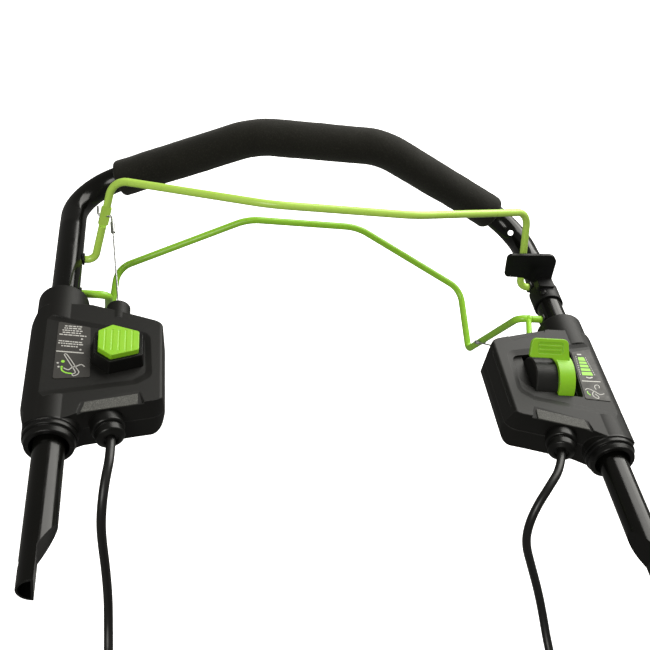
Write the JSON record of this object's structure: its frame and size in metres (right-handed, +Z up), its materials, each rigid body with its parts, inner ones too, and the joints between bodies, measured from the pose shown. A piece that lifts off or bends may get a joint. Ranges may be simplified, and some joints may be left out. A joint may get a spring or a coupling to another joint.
{
  "type": "lawn mower handle",
  "caption": "U-shaped upper handle of a walk-behind mower with a foam grip, two hinged green bails, a start-button housing, a speed-lever housing and their cables.",
  "frame": {"origin": "midway between the two bolt holes in the lower ends of the side tubes, where the handle is bolted to the mower", "axes": "+X along the bolt holes, towards the speed-lever side; +Y from the mower towards the operator, along the side tubes; +Z up from the plane of the side tubes"},
  "size_m": [0.53, 0.5805, 0.2692],
  "materials": {
    "tube_black": "gloss black powder coat",
    "foam_black": "closed-cell foam, matte",
    "nylon_black": "moulded nylon",
    "bail_light_green": "gloss paint",
    "bail_green": "gloss paint",
    "galvanised_wire": "zinc-plated wire",
    "zinc_steel": "zinc-plated screws",
    "bracket_black": "satin black",
    "housing_black": "fine moulded texture",
    "trim_grey": "speckled spark texture",
    "gland_black": "smooth satin rubber",
    "panel_black": "printed film",
    "control_green": "satin moulded plastic",
    "bezel_black": "semi-gloss",
    "switch_body": "moulded",
    "drum_black": "satin",
    "cable_black": "satin jacket",
    "connector_grey": "moulded"
  },
  "bodies": {
    "root": {"handle_tube": "tube_black", "foam_grip": "foam_black", "drive_bail_bushes": "nylon_black", "blade_bail_bushes": "nylon_black", "bail_stop_bracket": "bracket_black", "bracket_screw": "bracket_black", "start_housing_top": "housing_black", "start_housing_bottom": "housing_black", "speed_housing_top": "housing_black", "speed_housing_bottom": "housing_black", "start_housing_screws": "zinc_steel", "speed_housing_screws": "zinc_steel", "start_trim_strip": "trim_grey", "speed_trim_strip": "trim_grey", "start_cable_gland": "gland_black", "speed_cable_gland": "gland_black", "start_label_panel": "panel_black", "speed_label_panel": "panel_black", "start_button_bezel": "bezel_black", "start_button_carrier": "nylon_black", "start_button_spring": "galvanised_wire", "start_microswitch": "switch_body", "drive_microswitch": "switch_body", "speed_sensor": "switch_body", "start_cable": "cable_black", "start_cable_coil": "cable_black", "start_cable_tie": "nylon_black", "start_cable_connector": "connector_grey", "speed_cable": "cable_black", "speed_cable_coil": "cable_black", "speed_cable_tie": "nylon_black", "speed_cable_connector": "connector_grey"},
    "blade_bail": {"blade_bail": "bail_light_green"},
    "drive_bail": {"drive_bail": "bail_green"},
    "start_pull_wire": {"start_pull_wire": "galvanised_wire"},
    "drive_pull_wire": {"drive_pull_wire": "galvanised_wire"},
    "start_button": {"start_button": "control_green"},
    "speed_lever": {"speed_lever": "control_green", "speed_drum": "drum_black", "speed_axle": "drum_black"}
  },
  "joints": [
    {"name": "blade_bail_hinge", "type": "hinge", "parent": "root", "child": "blade_bail", "pos_m": [0, 0.3463, 0], "axis": [-1, 0, 0], "range_deg": [0, 64], "stiffness_Nm_per_rad": 0.35, "springref_deg": -45.84},
    {"name": "drive_bail_hinge", "type": "hinge", "parent": "root", "child": "drive_bail", "pos_m": [0, 0.296, 0], "axis": [1, 0, 0], "range_deg": [0, 27], "stiffness_Nm_per_rad": 0.6, "springref_deg": -45.84},
    {"name": "start_pull_wire_pivot", "type": "hinge", "parent": "blade_bail", "child": "start_pull_wire", "pos_m": [-0.208, 0.355, 0.0466], "axis": [1, 0, 0], "range_deg": [0, 44]},
    {"name": "drive_pull_wire_pivot", "type": "hinge", "parent": "drive_bail", "child": "drive_pull_wire", "pos_m": [0.201, 0.3575, -0.09075], "axis": [1, 0, 0], "range_deg": [-9, 0]},
    {"name": "start_button_press", "type": "slide", "parent": "root", "child": "start_button", "axis": [0, 0, -1], "range_m": [0, 0.004], "stiffness_N_per_m": 500, "springref_m": -0.003, "deforming": ["start_button_spring"]},
    {"name": "speed_lever_turn", "type": "hinge", "parent": "root", "child": "speed_lever", "pos_m": [0.2, 0.1956, 0.012], "axis": [1, 0, 0], "range_deg": [0, 50]}
  ],
  "couplings": [
    {"joint": "start_pull_wire_pivot", "follows": "blade_bail_hinge", "ratio": 0.675},
    {"joint": "drive_pull_wire_pivot", "follows": "drive_bail_hinge", "ratio": -0.315}
  ]
}
